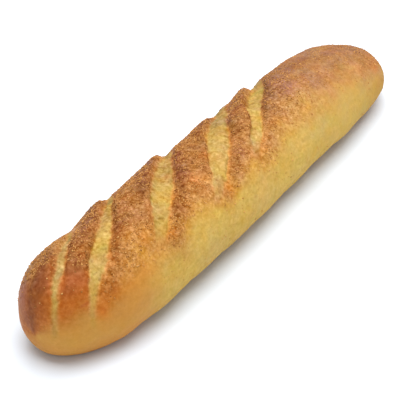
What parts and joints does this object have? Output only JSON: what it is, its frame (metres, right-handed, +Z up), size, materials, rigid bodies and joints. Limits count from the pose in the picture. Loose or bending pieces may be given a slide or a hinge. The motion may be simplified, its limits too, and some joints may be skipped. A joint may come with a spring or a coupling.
{
  "type": "baguette",
  "caption": "Short golden-brown baguette with slanting slashes in its domed top, a crust dusted with coarse semolina, and a flat underside.",
  "frame": {"origin": "middle of the loaf's bounding box, on the plane of its flat underside", "axes": "+X along the loaf towards the lower, unslashed end; +Y across it, towards the back ends of the slashes; +Z up"},
  "size_m": [0.29, 0.0602, 0.0516],
  "materials": {
    "crust": "matt, baked, dusted",
    "semolina": "matt, coarse grains"
  },
  "bodies": {
    "root": {"baguette": "crust"}
  },
  "joints": []
}
